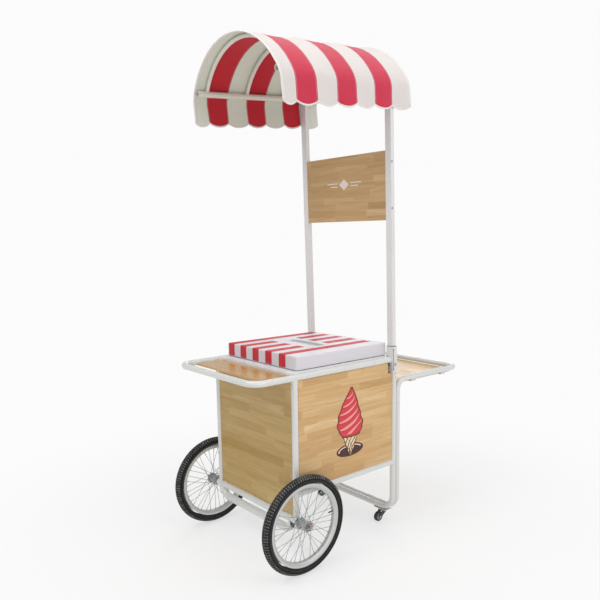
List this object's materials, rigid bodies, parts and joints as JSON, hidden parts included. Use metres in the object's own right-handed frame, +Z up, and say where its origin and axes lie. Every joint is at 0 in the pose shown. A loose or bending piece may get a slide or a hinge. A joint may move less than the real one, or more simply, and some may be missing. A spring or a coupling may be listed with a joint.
{
  "type": "push vending cart",
  "caption": "Push vending cart: tube frame with board-panelled tub and lift-off lid, a shelf at each end, barrel-vault canopy on tall posts, spoked wheels and swivel casters.",
  "frame": {"origin": "on the floor, at the centre of the bounding box seen from above", "axes": "+X from the spoked-wheel end to the caster end, -Y the side with the cone picture (near), +Y the other side (far), +Z up"},
  "size_m": [1.5449, 0.95, 2.6767],
  "materials": {
    "white_powder": "smooth white powder coat",
    "board": "laminated, finger-jointed strips, satin varnish",
    "white_board": "white faced board",
    "tub_white": "white food-safe plastic",
    "foam": "rigid insulating foam",
    "gasket": "grey sealing rubber",
    "lid_white": "white moulded plastic",
    "stripe_red": "red film",
    "grip_grey": "grey moulded plastic",
    "fabric": "red and white striped canvas with white binding",
    "tyre_black": "black rubber, small tread blocks",
    "rim_silver": "brushed, anodised",
    "spoke_steel": "drawn wire",
    "hub_zinc": "galvanised",
    "axle_steel": "turned",
    "zinc_screw": "zinc plated",
    "black_plastic": "black nylon",
    "caster_steel": "black painted pressed steel",
    "caster_pin_steel": "zinc plated",
    "caster_rubber": "black tread on a grey centre"
  },
  "bodies": {
    "frame": {"top_rail": "white_powder", "corner_post_near": "white_powder", "corner_post_far": "white_powder", "side_rail_near": "white_powder", "side_rail_far": "white_powder", "axle_tube": "white_powder", "axle_brace": "white_powder", "leg_hoop": "white_powder", "shelf_hoop": "white_powder", "end_rail_caster": "white_powder", "side_panel_near": "board", "side_panel_far": "board", "wheel_end_panel": "board", "caster_end_panel": "board", "floor_panel": "white_board", "counter_deck": "white_board", "tub": "tub_white", "tub_insulation": "foam", "lid_gasket": "gasket", "shelf_board_wheel_end": "board", "shelf_board_caster_end": "board", "shelf_brackets": "white_powder", "post_socket_near": "white_powder", "post_socket_far": "white_powder", "socket_liners": "black_plastic", "clamp_bolts": "zinc_screw", "frame_screws": "zinc_screw", "axle_near": "axle_steel", "axle_far": "axle_steel", "axle_nuts": "zinc_screw", "caster_plate_near": "white_powder", "caster_plate_far": "white_powder"},
    "lid": {"lid_shell": "lid_white", "lid_stripes": "stripe_red", "lid_grip": "grip_grey"},
    "roof": {"post_near": "white_powder", "post_far": "white_powder", "roof_rail_near": "white_powder", "roof_rail_far": "white_powder", "roof_hoops": "white_powder", "roof_cover": "fabric", "sign_board": "board", "sign_screws": "zinc_screw"},
    "wheel_near": {"tyre_near": "tyre_black", "rim_near": "rim_silver", "spokes_near": "spoke_steel", "hub_near": "hub_zinc", "bearings_near": "axle_steel"},
    "wheel_far": {"tyre_far": "tyre_black", "rim_far": "rim_silver", "spokes_far": "spoke_steel", "hub_far": "hub_zinc", "bearings_far": "axle_steel"},
    "caster_near": {"caster_fork_near": "caster_steel", "caster_pin_near": "caster_pin_steel"},
    "caster_roller_near": {"caster_wheel_near": "caster_rubber"},
    "caster_far": {"caster_fork_far": "caster_steel", "caster_pin_far": "caster_pin_steel"},
    "caster_roller_far": {"caster_wheel_far": "caster_rubber"}
  },
  "joints": [
    {"name": "wheel_near_spin", "type": "hinge", "parent": "frame", "child": "wheel_near", "pos_m": [-0.52255, -0.411, 0.25], "axis": [0, 1, 0], "continuous": true},
    {"name": "wheel_far_spin", "type": "hinge", "parent": "frame", "child": "wheel_far", "pos_m": [-0.52255, 0.411, 0.25], "axis": [0, 1, 0], "continuous": true},
    {"name": "caster_near_swivel", "type": "hinge", "parent": "frame", "child": "caster_near", "pos_m": [0.2055, -0.25, 0.06], "axis": [0, 0, 1], "continuous": true},
    {"name": "caster_near_spin", "type": "hinge", "parent": "caster_near", "child": "caster_roller_near", "pos_m": [0.1675, -0.25, 0.028], "axis": [0, 1, 0], "continuous": true},
    {"name": "caster_far_swivel", "type": "hinge", "parent": "frame", "child": "caster_far", "pos_m": [0.2055, 0.25, 0.06], "axis": [0, 0, 1], "continuous": true},
    {"name": "caster_far_spin", "type": "hinge", "parent": "caster_far", "child": "caster_roller_far", "pos_m": [0.1675, 0.25, 0.028], "axis": [0, 1, 0], "continuous": true},
    {"name": "lid_lift", "type": "slide", "parent": "frame", "child": "lid", "axis": [0, 0, 1], "range_m": [0, 0.3]},
    {"name": "roof_lift", "type": "slide", "parent": "frame", "child": "roof", "axis": [-0.0262, 0, 0.9997], "range_m": [0, 0.16]}
  ]
}
